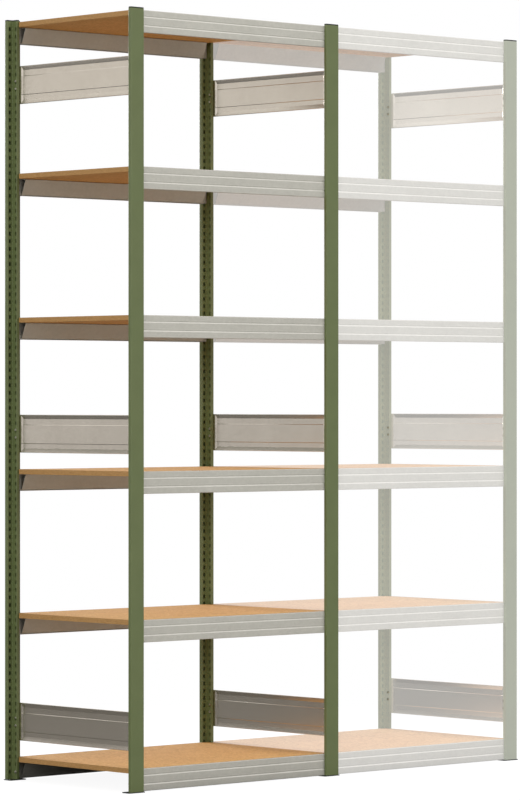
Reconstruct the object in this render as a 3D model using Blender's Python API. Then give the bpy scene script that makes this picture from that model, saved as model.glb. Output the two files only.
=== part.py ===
"""Wide span shelving unit: two bays of six chipboard levels between three upright frames.

Frame: +Z up, origin on the floor under the middle of the unit, the front towards -Y.
All lengths are metres. The first bay lies at -X, the add-on bay at +X.
"""

import math

import bmesh
import bpy
from mathutils import Vector

# Whole unit
BAY_PITCH = 0.862            # centre of one upright frame to the next
UNIT_DEPTH = 0.636           # front face of a front post to the rear face of its rear post
FIT_GAP = 0.0003             # gap kept where two pieces touch
OVERRUN = 0.001              # cutters and welded pieces run this far into their target

# Posts: a closed T-section, its flange outwards and its stem towards the other post
POST_WIDTH = 0.056
FLANGE_DEPTH = 0.014
STEM_WIDTH = 0.012
STEM_DEPTH = 0.022
POST_WALL = 0.0015
FLANGE_RADIUS = 0.003
STEM_RADIUS = 0.002
CAP_HEIGHT = 0.004
CAP_INSET = 0.0005

# Slots: one column on each side of the flange's inner face, one through the stem
SLOT_PITCH = 0.025
SLOT_HEIGHT = 0.013
HOOK_SLOT_WIDTH = 0.008
BOLT_FROM_STEM_END = 0.005   # middle of the bolt slots, from the inner end of the stem
POST_ABOVE_LAST_SLOT = 0.026

# Bolts
BOLT_DIAMETER = 0.0045
BOLT_PLAY = 0.00045          # on each side in its slot
BOLT_HEAD_WIDTH = 0.010
BOLT_HEAD_HEIGHT = 0.004

# Foot plates
FOOT_THICKNESS = 0.003
FOOT_SIDE_MARGIN = 0.006     # beyond each side of the post
FOOT_INNER_MARGIN = 0.002    # beyond the inner end of the stem
TONGUE_THICKNESS = 0.002
TONGUE_ABOVE_BOLT = 0.0127
TONGUE_CLEARANCE = 0.002     # to the inside of the stem, along its depth

# Beams: roll-formed step section, hooked into the posts
BEAM_HEIGHT = 0.072
BEAM_SHEET = 0.0015
BEAM_AHEAD_OF_FLANGE = 0.004  # front face of the beam ahead of the flange's inner face
BEAM_LEDGE_WIDTH = 0.024
BEAM_FOOT_WIDTH = 0.008
BEAM_INNER_FOOT = 0.010      # inner leg's lower edge behind the front face
BEAM_INNER_RISE = 0.003      # inner leg's lower edge above the bottom of the beam
GROOVE_DEPTH = 0.0015
GROOVE_WALL = 0.0008         # height of a groove's steep upper side
GROOVE_SLOPE = 0.0045        # height of its gentle lower side
GROOVE_SHARES = (0.265, 0.655)  # upper edges of the grooves: of the beam's height, from its top
CONNECTOR_SHEET = 0.002
CONNECTOR_LAP = 0.020        # length welded inside the beam
CONNECTOR_CLEARANCE = 0.002  # to the stem of the post
CONNECTOR_ROOM = 0.0002      # between the connector and the upstand of the beam
HOOK_SIDE_PLAY = 0.002
HOOK_TOP_PLAY = 0.0037
HOOK_DROP = 0.004
HOOK_THICKNESS = 0.002
HOOK_PLAY = 0.0005           # between the hook's tail and the wall that it grips
BEAM_TOP_ABOVE_HOOK = 0.023

# Shelf boards
BOARD_THICKNESS = 0.016
BOARD_CLEARANCE = 0.0005     # to the upstand of each beam
BOARD_JOINT = 0.004          # dark joint between neighbouring boards
NOTCH_CLEARANCE = 0.002      # round the stem of the post

# Depth struts: shallow pressed pans that tie front and rear post, bolted to the stems
STRUT_HEIGHT = 0.125
STRUT_SHEET = 0.0012
STRUT_RECESS = 0.0022        # web behind the plane of its border
STRUT_EDGE_HEIGHT = 0.014    # slanted strip at the top and at the bottom
STRUT_END_SLOPE = 0.009      # slanted strip at each end
STRUT_TAB_PAST_STEM = 0.003  # flat end of the strut, past the inner end of the stem
STRUT_LIP = 0.006            # folded back along the top and the bottom
STRUT_FIELD_RISE = 0.001     # middle field of the web, back out towards the border
STRUT_FIELD_STEP = 0.0015    # height of the slopes above and below that field
STRUT_FIELD_SHARES = (0.27, 0.76)  # middles of the slopes: of the strut's height, from its top
STRUT_END_CLEARANCE = 0.002  # to the flange of the post
STRUT_BOLT_RISE = 0.003      # bolts and strut above the middle of the slots they use

# Counts
LEVEL_SLOTS = (1, 20, 39, 59, 78, 98)   # slot of each beam's upper hook, from the floor up
STRUT_SLOTS = (("lower", 6), ("middle", 44), ("upper", 90))  # slot of the lower bolt
CORNER_STEPS = 2
BOLT_SIDES = 8

# Derived sizes and places
HALF_DEPTH = UNIT_DEPTH / 2
FRAMES = (("left", -BAY_PITCH), ("middle", 0.0), ("right", BAY_PITCH))
BAYS = (("left", -BAY_PITCH / 2), ("right", BAY_PITCH / 2))
POST_BASE = FOOT_THICKNESS + FIT_GAP
POST_DEPTH = FLANGE_DEPTH + STEM_DEPTH
FIRST_SLOT_HEIGHT = BEAM_HEIGHT - BEAM_TOP_ABOVE_HOOK - LEVEL_SLOTS[0] * SLOT_PITCH
POST_LENGTH = FIRST_SLOT_HEIGHT + LEVEL_SLOTS[-1] * SLOT_PITCH + POST_ABOVE_LAST_SLOT
HOOK_SLOT_OFFSET = (POST_WIDTH + STEM_WIDTH) / 4
BOLT_SLOT_WIDTH = BOLT_DIAMETER + 2 * BOLT_PLAY
BOLT_PLACE = POST_DEPTH - BOLT_FROM_STEM_END
FOOT_WIDTH = POST_WIDTH + 2 * FOOT_SIDE_MARGIN
FOOT_DEPTH = POST_DEPTH + FOOT_INNER_MARGIN
BEAM_RECESS = FLANGE_DEPTH - BEAM_AHEAD_OF_FLANGE
CONNECTOR_FRONT = BEAM_AHEAD_OF_FLANGE + FIT_GAP
CONNECTOR_BACK = CONNECTOR_FRONT + CONNECTOR_SHEET
BEAM_TOP_WIDTH = CONNECTOR_BACK + CONNECTOR_ROOM + BEAM_SHEET
BEAM_HALF_LENGTH = BAY_PITCH / 2 - POST_WIDTH / 2 - FIT_GAP
BOARD_DROP = BOARD_THICKNESS + FIT_GAP

# Finishes: sRGB colour, roughness, metallic
FINISHES = {
    "green_powder_coat": ("#717858", 0.45, 0.0),
    "pale_green_powder_coat": ("#B6BAA8", 0.45, 0.0),
    "galvanised_steel": ("#B9B9AF", 0.35, 0.9),
    "pale_galvanised_steel": ("#DADAD6", 0.35, 0.9),
    "chipboard": ("#D9A869", 0.7, 0.0),
    "pale_chipboard": ("#EBD2B2", 0.7, 0.0),
    "zinc_plated_steel": ("#8E8E86", 0.4, 0.9),
}


def clear_scene():
    for found in list(bpy.data.objects):
        bpy.data.objects.remove(found, do_unlink=True)


def linear_colour(hex_colour):
    channels = []
    for start in (1, 3, 5):
        share = int(hex_colour[start:start + 2], 16) / 255
        if share <= 0.04045:
            channels.append(share / 12.92)
        else:
            channels.append(((share + 0.055) / 1.055) ** 2.4)
    return (*channels, 1.0)


def make_material(name):
    hex_colour, roughness, metallic = FINISHES[name]
    material = bpy.data.materials.new(name)
    material.use_nodes = True
    shader = material.node_tree.nodes["Principled BSDF"]
    shader.inputs["Base Color"].default_value = linear_colour(hex_colour)
    shader.inputs["Roughness"].default_value = roughness
    shader.inputs["Metallic"].default_value = metallic
    material.diffuse_color = linear_colour(hex_colour)
    return material


def slot_height(number):
    """Height of a slot's middle above the floor."""
    return POST_BASE + FIRST_SLOT_HEIGHT + number * SLOT_PITCH


def beam_top(level_slot):
    return slot_height(level_slot) + BEAM_TOP_ABOVE_HOOK


# Outlines

def left_normal(start, end):
    along = (end - start).normalized()
    return Vector((-along.y, along.x))


def mitre(before, after):
    """Offset vector of a corner for a unit offset of both of its sides."""
    middle = (before + after).normalized()
    return middle / middle.dot(before)


def offset_open(path, distance):
    normals = [left_normal(path[i], path[i + 1]) for i in range(len(path) - 1)]
    moved = [path[0] + normals[0] * distance]
    for i in range(1, len(path) - 1):
        moved.append(path[i] + mitre(normals[i - 1], normals[i]) * distance)
    moved.append(path[-1] + normals[-1] * distance)
    return moved


def offset_closed(outline, distance):
    count = len(outline)
    normals = [left_normal(outline[i], outline[(i + 1) % count]) for i in range(count)]
    return [outline[i] + mitre(normals[i - 1], normals[i]) * distance for i in range(count)]


def sheet_outline(path, thickness):
    """Closed outline of a bent sheet whose outer side is the path."""
    points = [Vector(point) for point in path]
    return points + list(reversed(offset_open(points, thickness)))


def corner_arc(corner, radius, first_angle):
    """Rounded corner, a quarter turn counterclockwise from first_angle about its own centre."""
    points = []
    middle = first_angle + math.pi / 4
    centre = corner - Vector((math.cos(middle), math.sin(middle))) * radius * math.sqrt(2)
    for step in range(CORNER_STEPS + 1):
        angle = first_angle + step / CORNER_STEPS * math.pi / 2
        points.append(centre + Vector((math.cos(angle), math.sin(angle))) * radius)
    return points


def post_outline():
    """Outer T-section, counterclockwise, the front face at y = 0 and the stem towards +y."""
    half = POST_WIDTH / 2
    stem = STEM_WIDTH / 2
    quarter = math.pi / 2
    outline = corner_arc(Vector((half, 0)), FLANGE_RADIUS, -quarter)
    outline += corner_arc(Vector((half, FLANGE_DEPTH)), FLANGE_RADIUS, 0)
    outline.append(Vector((stem, FLANGE_DEPTH)))
    outline += corner_arc(Vector((stem, POST_DEPTH)), STEM_RADIUS, 0)
    outline += corner_arc(Vector((-stem, POST_DEPTH)), STEM_RADIUS, quarter)
    outline.append(Vector((-stem, FLANGE_DEPTH)))
    outline += corner_arc(Vector((-half, FLANGE_DEPTH)), FLANGE_RADIUS, quarter)
    outline += corner_arc(Vector((-half, 0)), FLANGE_RADIUS, 2 * quarter)
    return outline


def groove_points(height):
    """Groove in a front face that runs upwards, its upper edge at the height."""
    valley = height - GROOVE_WALL
    return [(0, valley - GROOVE_SLOPE), (GROOVE_DEPTH, valley), (0, height)]


def beam_outline():
    """Section of a beam, its front face at y = 0, its top at z = 0, inwards +y."""
    path = [(BEAM_FOOT_WIDTH, -BEAM_HEIGHT), (0, -BEAM_HEIGHT)]
    for share in reversed(GROOVE_SHARES):
        path += groove_points(-share * BEAM_HEIGHT)
    path += [
        (0, 0),
        (BEAM_TOP_WIDTH, 0),
        (BEAM_TOP_WIDTH, -BOARD_DROP),
        (BEAM_TOP_WIDTH + BEAM_LEDGE_WIDTH, -BOARD_DROP),
        (BEAM_INNER_FOOT, BEAM_INNER_RISE - BEAM_HEIGHT),
    ]
    return sheet_outline(path, -BEAM_SHEET)


def strut_outline(recess, rise):
    """Section of a strut as (x, z): border at x = 0, lips and web towards +x."""
    half = STRUT_HEIGHT / 2
    field = recess - rise
    field_top, field_foot = (half - share * STRUT_HEIGHT for share in STRUT_FIELD_SHARES)
    path = [
        (STRUT_LIP, -half),
        (0, -half),
        (recess, STRUT_EDGE_HEIGHT - half),
        (recess, field_foot - STRUT_FIELD_STEP / 2),
        (field, field_foot + STRUT_FIELD_STEP / 2),
        (field, field_top - STRUT_FIELD_STEP / 2),
        (recess, field_top + STRUT_FIELD_STEP / 2),
        (recess, half - STRUT_EDGE_HEIGHT),
        (0, half),
        (STRUT_LIP, half),
    ]
    web = STEM_WIDTH / 2 + FIT_GAP
    shift = Vector((web, 0))
    return [point + shift for point in sheet_outline(path, -STRUT_SHEET)]


def board_outline():
    """Board seen from above, with a notch round the stem of each corner post."""
    side = (BAY_PITCH - BOARD_JOINT) / 2
    front = HALF_DEPTH - BEAM_RECESS - BEAM_TOP_WIDTH - BOARD_CLEARANCE
    notch_side = BAY_PITCH / 2 - STEM_WIDTH / 2 - NOTCH_CLEARANCE
    notch_front = HALF_DEPTH - POST_DEPTH - NOTCH_CLEARANCE
    corner = [(side, notch_front), (notch_side, notch_front), (notch_side, front)]
    outline = [Vector((x, -y)) for x, y in reversed(corner)]
    outline += [Vector((x, y)) for x, y in corner]
    outline += [Vector((-x, y)) for x, y in reversed(corner)]
    outline += [Vector((-x, -y)) for x, y in corner]
    return outline


# Solids

def add_ring(mesh, outline, height, to_space):
    return [mesh.verts.new(to_space(point.x, point.y, height)) for point in outline]


def bridge(mesh, first, second):
    count = len(first)
    for i in range(count):
        j = (i + 1) % count
        mesh.faces.new((first[i], first[j], second[j], second[i]))


def bridge_mitred(mesh, full, flat):
    """Joins two sections of a strut, each quad split along the mitre of the pressed web."""
    count = len(full)
    for i in range(count):
        j = (i + 1) % count
        if abs(full[i].co.z) > abs(full[j].co.z):
            mesh.faces.new((full[i], full[j], flat[i]))
            mesh.faces.new((full[j], flat[j], flat[i]))
        else:
            mesh.faces.new((full[i], full[j], flat[j]))
            mesh.faces.new((full[i], flat[j], flat[i]))


def add_prism(mesh, outline, low, high, to_space):
    bottom = add_ring(mesh, outline, low, to_space)
    top = add_ring(mesh, outline, high, to_space)
    bridge(mesh, bottom, top)
    mesh.faces.new(list(reversed(bottom)))
    mesh.faces.new(top)


def upright(x, y, along):
    return Vector((x, y, along))


def along_x(y, z, along):
    return Vector((along, y, z))


def along_y(x, z, along):
    return Vector((x, along, z))


def add_box(mesh, low, high):
    outline = [Vector((low[0], low[1])), Vector((high[0], low[1])),
               Vector((high[0], high[1])), Vector((low[0], high[1]))]
    add_prism(mesh, outline, low[2], high[2], upright)


def regular_outline(centre, radius, sides):
    turns = [step / sides * 2 * math.pi for step in range(sides)]
    return [centre + Vector((math.cos(turn), math.sin(turn))) * radius for turn in turns]


def add_bolt(mesh, place, head_x, nut_x, head_side):
    """Bolt along X, from its head's inner face to its nut's inner face; head_side is -1 or 1."""
    centre = Vector(place)
    shank = regular_outline(centre, BOLT_DIAMETER / 2, BOLT_SIDES)
    hexagon = regular_outline(centre, BOLT_HEAD_WIDTH / math.sqrt(3), 6)
    ends = sorted((head_x + head_side * OVERRUN, nut_x - head_side * OVERRUN))
    add_prism(mesh, shank, ends[0], ends[1], along_x)
    for inner, side in ((head_x, head_side), (nut_x, -head_side)):
        span = sorted((inner, inner + side * BOLT_HEAD_HEIGHT))
        add_prism(mesh, hexagon, span[0], span[1], along_x)


def finish_mesh(builder, name):
    bmesh.ops.recalc_face_normals(builder, faces=builder.faces)
    mesh = bpy.data.meshes.new(name)
    builder.to_mesh(mesh)
    builder.free()
    return mesh


def combine(name, base, tool, operation):
    """Mesh that an exact Boolean makes of two meshes."""
    target = bpy.data.objects.new(name, base)
    helper = bpy.data.objects.new(name + "_tool", tool)
    helper.hide_render = True
    helper.display_type = "WIRE"
    bpy.context.collection.objects.link(target)
    bpy.context.collection.objects.link(helper)
    modifier = target.modifiers.new("combine", "BOOLEAN")
    modifier.operation = operation
    modifier.solver = "EXACT"
    modifier.use_self = operation == "UNION"
    modifier.object = helper
    graph = bpy.context.evaluated_depsgraph_get()
    mesh = bpy.data.meshes.new_from_object(target.evaluated_get(graph))
    mesh.name = name
    bpy.data.objects.remove(target, do_unlink=True)
    bpy.data.objects.remove(helper, do_unlink=True)
    return mesh


def shade(mesh):
    mesh.shade_smooth()
    mesh.set_sharp_from_angle(angle=math.radians(40))
    return mesh


def post_mesh():
    """Post with its end cap; its lower end at z = 0."""
    outer = post_outline()
    inner = offset_closed(outer, POST_WALL)
    cap = offset_closed(outer, CAP_INSET)
    tube = bmesh.new()
    outer_low = add_ring(tube, outer, 0, upright)
    outer_high = add_ring(tube, outer, POST_LENGTH, upright)
    cap_low = add_ring(tube, cap, POST_LENGTH, upright)
    cap_high = add_ring(tube, cap, POST_LENGTH + CAP_HEIGHT, upright)
    inner_low = add_ring(tube, inner, 0, upright)
    inner_high = add_ring(tube, inner, POST_LENGTH - POST_WALL, upright)
    bridge(tube, outer_low, outer_high)
    bridge(tube, outer_high, cap_low)
    bridge(tube, cap_low, cap_high)
    tube.faces.new(cap_high)
    bridge(tube, inner_low, outer_low)
    bridge(tube, inner_high, inner_low)
    tube.faces.new(list(reversed(inner_high)))
    cuts = bmesh.new()
    add_slots(cuts)
    body = finish_mesh(tube, "post_tube")
    return shade(combine("post", body, finish_mesh(cuts, "slots"), "DIFFERENCE"))


def add_slots(cuts):
    """Cutters for the slots that hold a hook or a bolt."""
    half_height = SLOT_HEIGHT / 2
    hook_slots = sorted({slot - step for slot in LEVEL_SLOTS for step in (0, 1)})
    for number in hook_slots:
        height = slot_height(number) - POST_BASE
        for side in (-1, 1):
            centre = side * HOOK_SLOT_OFFSET
            low = (centre - HOOK_SLOT_WIDTH / 2, FLANGE_DEPTH - POST_WALL - OVERRUN, height - half_height)
            high = (centre + HOOK_SLOT_WIDTH / 2, FLANGE_DEPTH + OVERRUN, height + half_height)
            add_box(cuts, low, high)
    bolt_slots = {0} | {slot + step for _, slot in STRUT_SLOTS for step in (0, 1)}
    reach = STEM_WIDTH / 2 + OVERRUN
    for number in sorted(bolt_slots):
        height = slot_height(number) - POST_BASE
        low = (-reach, BOLT_PLACE - BOLT_SLOT_WIDTH / 2, height - half_height)
        high = (reach, BOLT_PLACE + BOLT_SLOT_WIDTH / 2, height + half_height)
        add_box(cuts, low, high)


def foot_mesh():
    """Foot plate with its tongue inside the stem, and the bolt through both; the floor at z = 0."""
    plate = bmesh.new()
    add_box(plate, (-FOOT_WIDTH / 2, 0, 0), (FOOT_WIDTH / 2, FOOT_DEPTH, FOOT_THICKNESS))
    extras = bmesh.new()
    half = TONGUE_THICKNESS / 2
    low = (-half, FLANGE_DEPTH + TONGUE_CLEARANCE, FOOT_THICKNESS - OVERRUN)
    bolt_height = slot_height(0)
    high = (half, POST_DEPTH - POST_WALL - TONGUE_CLEARANCE, bolt_height + TONGUE_ABOVE_BOLT)
    add_box(extras, low, high)
    face = STEM_WIDTH / 2 + FIT_GAP
    add_bolt(extras, (BOLT_PLACE, bolt_height), -face, face, -1)
    body = finish_mesh(plate, "foot_plate")
    return shade(combine("foot", body, finish_mesh(extras, "foot_extras"), "UNION"))


def add_connector(mesh, side):
    """End plate and two hooks, for the beam's end at side * x."""
    stem = BAY_PITCH / 2 - STEM_WIDTH / 2 - CONNECTOR_CLEARANCE
    lap = BEAM_HALF_LENGTH - CONNECTOR_LAP
    ends = sorted((side * lap, side * stem))
    inside = BEAM_SHEET / 2
    add_box(mesh, (ends[0], CONNECTOR_FRONT, inside - BEAM_HEIGHT), (ends[1], CONNECTOR_BACK, -inside))
    middle = side * (BAY_PITCH / 2 - HOOK_SLOT_OFFSET)
    near = middle - HOOK_SLOT_WIDTH / 2 + HOOK_SIDE_PLAY
    far = middle + HOOK_SLOT_WIDTH / 2 - HOOK_SIDE_PLAY
    tail_back = BEAM_AHEAD_OF_FLANGE - POST_WALL - HOOK_PLAY
    tail_front = tail_back - HOOK_THICKNESS
    neck_back = (CONNECTOR_FRONT + CONNECTOR_BACK) / 2
    for step in (0, 1):
        centre = -BEAM_TOP_ABOVE_HOOK - step * SLOT_PITCH
        seat = centre - SLOT_HEIGHT / 2 + FIT_GAP
        top = centre + SLOT_HEIGHT / 2 - HOOK_TOP_PLAY
        add_box(mesh, (near, tail_back - HOOK_THICKNESS / 2, seat), (far, neck_back, top))
        add_box(mesh, (near, tail_front, seat - HOOK_DROP), (far, tail_back, top))


def beam_mesh():
    """Beam with a hooked connector at each end; middle of its length at x = 0."""
    body = bmesh.new()
    add_prism(body, beam_outline(), -BEAM_HALF_LENGTH, BEAM_HALF_LENGTH, along_x)
    ends = bmesh.new()
    add_connector(ends, -1)
    add_connector(ends, 1)
    section = finish_mesh(body, "beam_body")
    return shade(combine("beam", section, finish_mesh(ends, "connectors"), "UNION"))


def add_pan(mesh):
    """Pressed sheet: flat at both ends, its web recessed between them."""
    end = HALF_DEPTH - FLANGE_DEPTH - STRUT_END_CLEARANCE
    tab = HALF_DEPTH - POST_DEPTH - STRUT_TAB_PAST_STEM
    pressed = tab - STRUT_END_SLOPE
    flat = strut_outline(0, 0)
    full = strut_outline(STRUT_RECESS, STRUT_FIELD_RISE)
    rings = {place: add_ring(mesh, flat, place, along_y) for place in (-end, -tab, tab, end)}
    rings |= {place: add_ring(mesh, full, place, along_y) for place in (-pressed, pressed)}
    for side in (-1, 1):
        bridge(mesh, rings[side * end], rings[side * tab])
        bridge_mitred(mesh, rings[side * pressed], rings[side * tab])
        mesh.faces.new(rings[side * end])
    bridge(mesh, rings[-pressed], rings[pressed])


def strut_mesh():
    """Strut beside the stems, its bolts running through them; middle of the bolts at z = 0."""
    web = STEM_WIDTH / 2 + FIT_GAP
    pan = bmesh.new()
    add_pan(pan)
    bolts = bmesh.new()
    place = HALF_DEPTH - BOLT_PLACE
    for side in (-1, 1):
        for height in (-SLOT_PITCH / 2, SLOT_PITCH / 2):
            add_bolt(bolts, (side * place, height), -web, web + STRUT_SHEET / 2, -1)
    body = finish_mesh(pan, "strut_pan")
    return shade(combine("strut", body, finish_mesh(bolts, "strut_bolts"), "UNION"))


def board_mesh():
    board = bmesh.new()
    add_prism(board, board_outline(), 0, BOARD_THICKNESS, upright)
    return finish_mesh(board, "board")


def place_object(name, mesh, material, location, turned=False):
    placed = bpy.data.objects.new(name, mesh)
    placed.location = location
    if turned:
        placed.rotation_euler = (0, 0, math.pi)
    if not mesh.materials:
        mesh.materials.append(material)
    placed.material_slots[0].link = "OBJECT"
    placed.material_slots[0].material = material
    bpy.context.collection.objects.link(placed)
    return placed


def build_frames(finishes):
    post = post_mesh()
    foot = foot_mesh()
    strut = strut_mesh()
    for frame, x in FRAMES:
        pale = frame == "right"
        paint = finishes["pale_green_powder_coat" if pale else "green_powder_coat"]
        steel = finishes["pale_galvanised_steel" if pale else "galvanised_steel"]
        for end, y, turned in (("front", -HALF_DEPTH, False), ("rear", HALF_DEPTH, True)):
            place_object(f"post_{frame}_{end}", post, paint, (x, y, POST_BASE), turned)
            foot_name = f"foot_plate_{frame}_{end}"
            place_object(foot_name, foot, finishes["zinc_plated_steel"], (x, y, 0), turned)
        for label, slot in STRUT_SLOTS:
            middle = (slot_height(slot) + slot_height(slot + 1)) / 2 + STRUT_BOLT_RISE
            place_object(f"depth_strut_{frame}_{label}", strut, steel, (x, 0, middle))


def build_levels(finishes):
    beam = beam_mesh()
    board = board_mesh()
    edge = HALF_DEPTH - BEAM_RECESS
    for bay, x in BAYS:
        pale = bay == "right"
        steel = finishes["pale_galvanised_steel" if pale else "galvanised_steel"]
        wood = finishes["pale_chipboard" if pale else "chipboard"]
        for level, slot in enumerate(LEVEL_SLOTS, start=1):
            top = beam_top(slot)
            place_object(f"front_beam_{bay}_{level}", beam, steel, (x, -edge, top))
            place_object(f"rear_beam_{bay}_{level}", beam, steel, (x, edge, top), True)
            place_object(f"shelf_board_{bay}_{level}", board, wood, (x, 0, top - BOARD_THICKNESS))


def main():
    clear_scene()
    finishes = {name: make_material(name) for name in FINISHES}
    build_frames(finishes)
    build_levels(finishes)


main()
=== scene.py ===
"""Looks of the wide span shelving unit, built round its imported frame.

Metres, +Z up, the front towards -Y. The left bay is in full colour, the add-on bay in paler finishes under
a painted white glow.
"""

import math

import bmesh
import bpy
from mathutils import Matrix, Vector


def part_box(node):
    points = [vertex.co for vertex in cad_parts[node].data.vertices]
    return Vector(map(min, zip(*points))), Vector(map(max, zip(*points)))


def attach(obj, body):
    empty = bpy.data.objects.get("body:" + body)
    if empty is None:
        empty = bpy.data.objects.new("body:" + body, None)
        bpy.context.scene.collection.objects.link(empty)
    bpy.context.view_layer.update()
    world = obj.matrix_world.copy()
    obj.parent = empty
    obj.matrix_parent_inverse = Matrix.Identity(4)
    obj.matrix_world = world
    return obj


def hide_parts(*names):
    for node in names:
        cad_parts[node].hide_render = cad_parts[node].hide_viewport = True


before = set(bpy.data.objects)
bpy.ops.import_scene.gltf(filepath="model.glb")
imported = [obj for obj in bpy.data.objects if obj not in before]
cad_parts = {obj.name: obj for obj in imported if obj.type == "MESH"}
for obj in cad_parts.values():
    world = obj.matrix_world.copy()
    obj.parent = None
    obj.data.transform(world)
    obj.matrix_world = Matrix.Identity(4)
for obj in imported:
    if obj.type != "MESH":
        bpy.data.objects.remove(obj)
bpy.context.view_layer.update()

# Pieces that the frame holds
FRAMES = ("left", "middle", "right")
BAYS = ("left", "right")
ENDS = {"front": -1, "rear": 1}
LEVELS = range(1, 7)
STRUTS = ("lower", "middle", "upper")
STEEL_BODY = "shelving_frame"

# Posts: a closed T-section of sheet steel, its flange outwards and its stem inwards
FLANGE_DEPTH = 0.014
STEM_WIDTH = 0.012
POST_WALL = 0.0015
FLANGE_RADIUS = 0.003
STEM_RADIUS = 0.002
ROOT_RADIUS = 0.0012         # where the stem meets the flange
CAP_HEIGHT = 0.004
CAP_INSET = 0.0005
CAP_RADIUS = 0.0008
CAP_PLUG = 0.010             # length of the cap inside the post
CAP_PLAY = 0.0003
CAP_ROUNDING_STEPS = 3

# Slots, all at one pitch up the post
SLOT_PITCH = 0.025
SLOT_COUNT = 99
SLOT_HEIGHT = 0.013
SLOT_RADIUS = 0.0018
SLOT_MARGIN = 0.0002         # between a slot's side and the strip that carries it
HOOK_SLOT_WIDTH = 0.008
BOLT_SLOT_WIDTH = 0.0054
BOLT_FROM_STEM_END = 0.005
LAST_SLOT_TO_POST_TOP = 0.026

# Bolts with their nuts, a washer under each nut
BOLT_DIAMETER = 0.0045
BOLT_HEAD_WIDTH = 0.0075
BOLT_HEAD_HEIGHT = 0.003
WASHER_DIAMETER = 0.010
WASHER_HEIGHT = 0.001
NUT_HEIGHT = 0.0026
HEAD_CHAMFER = 0.0006
BOLT_PAST_NUT = 0.0009
HEXAGON_SIDES = 6
SHANK_SIDES = 16
WASHER_SIDES = 24

# Foot plates
FOOT_THICKNESS = 0.003
FOOT_RADIUS = 0.004
FOOT_EDGE = 0.0005
TONGUE_THICKNESS = 0.002
TONGUE_HEIGHT = 0.036
TONGUE_CLEARANCE = 0.002

# Beams: roll-formed step section
BEAM_SHEET = 0.0015
BEAM_BEND = 0.0022           # outer bend radius
BEAM_TOP_WIDTH = 0.008
BEAM_DROP = 0.0163           # from the top down to the ledge that carries the board
BEAM_LEDGE_WIDTH = 0.024
BEAM_FOOT_WIDTH = 0.008
BEAM_INNER_FOOT = 0.010
BEAM_INNER_RISE = 0.003
BEAM_AHEAD_OF_FLANGE = 0.004
GROOVE_DEPTH = 0.0015
GROOVE_WALL = 0.0008         # height of a groove's steep upper side
GROOVE_SLOPE = 0.0045        # height of its gentle lower side
GROOVE_EDGE_RADIUS = 0.0005
GROOVE_VALLEY_RADIUS = 0.0004
GROOVE_SHARES = (0.265, 0.655)  # upper edges of the grooves: of the beam's height, from its top
FIT_GAP = 0.0003

# Hooked end plates of the beams
PLATE_SHEET = 0.002
PLATE_LAP = 0.020
PLATE_CLEARANCE = 0.002
PLATE_INSET = 0.00225        # from the beam's top and foot
PLATE_RADIUS = 0.003
HOOK_THICKNESS = 0.002
HOOK_SIDE_PLAY = 0.002
HOOK_TOP_PLAY = 0.0037
HOOK_DROP = 0.004
HOOK_PLAY = 0.0005
BEAM_TOP_ABOVE_HOOK = 0.023

# Depth struts: shallow pressed pans
STRUT_SHEET = 0.0012
STRUT_BEND = 0.0018
STRUT_PRESS_RADIUS = 0.004
STRUT_RECESS = 0.0022
STRUT_EDGE_HEIGHT = 0.014
STRUT_END_SLOPE = 0.009
STRUT_TAB_PAST_STEM = 0.008
STRUT_LIP = 0.006
STRUT_END_CLEARANCE = 0.002
STRUT_FIELD_RISE = 0.001     # middle field of the web, back out towards the border
STRUT_FIELD_STEP = 0.0015    # height of the slopes above and below that field
STRUT_FIELD_SHARES = (0.27, 0.76)  # middles of the slopes: of the strut's height, from its top
STRUT_FIELD_BEND = 0.0006
STRUT_MITRE_SHARE = 0.17     # of the edge's height that the lip's bend needs at the flat ends
STRUT_FLATNESS = 0.00004     # what the press leaves of its shape in the flat ends
STRUT_ARC_STEPS = 3

# Boards
BOARD_EDGE = 0.0006          # worn edge of the cut board

PAINTED_GLOW = 0.25             # strength of the painted white glow over the add-on bay's finishes, which lifts their shades

ARC_STEP = math.radians(24)
SHARP_ANGLE = math.radians(32)
SHARP_FOLD = 0.0001          # inner radius of the tightest folds

# Camera: level, its picture 520 by 800 pixels
PICTURE_HEIGHT = 800
SENSOR = 36.0
FOCAL_LENGTH = 4008.5        # in pixels of that picture
HORIZON = 401.75             # pixels below the picture's top
CAMERA_PLACE = (-9.252, -9.967, 1.248)
CAMERA_TURN = -42.757        # degrees about Z, from looking along +Y

# Studio floor
FLOOR_SIZE = 60.0
SHADOW_FADE = (1.3, 3.0)     # distances from the unit's middle
WHITE_AHEAD = (-0.32, -0.42)  # along y, where the mirrored floor turns white
BASE_GLOW = 1.16
BASE_GLOW_SHARE = 0.8        # the rest shows the shadow

# Sizes that the frame gives
post_low, post_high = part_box("post_middle_front")
beam_low, beam_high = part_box("front_beam_left_1")
strut_low, strut_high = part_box("depth_strut_middle_lower")
foot_low, foot_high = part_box("foot_plate_middle_front")
POST_WIDTH = post_high.x - post_low.x
POST_DEPTH = post_high.y - post_low.y
POST_LENGTH = post_high.z - post_low.z - CAP_HEIGHT
HALF_DEPTH = -post_low.y
BAY_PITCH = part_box("post_right_front")[0].x - post_low.x
BEAM_HEIGHT = beam_high.z - beam_low.z
BEAM_HALF_LENGTH = (BAY_PITCH - POST_WIDTH) / 2 - FIT_GAP
STRUT_HEIGHT = strut_high.z - strut_low.z
FOOT_WIDTH = foot_high.x - foot_low.x
FOOT_DEPTH = foot_high.y - foot_low.y

# Places worked out from them
HOOK_SLOT_OFFSET = (POST_WIDTH + STEM_WIDTH) / 4
BOLT_PLACE = POST_DEPTH - BOLT_FROM_STEM_END
LAST_SLOT = POST_LENGTH - LAST_SLOT_TO_POST_TOP
SLOT_PLACES = [LAST_SLOT - number * SLOT_PITCH for number in reversed(range(SLOT_COUNT))]
STEM_FACE = STEM_WIDTH / 2 + FIT_GAP


# Colours and nodes

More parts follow.
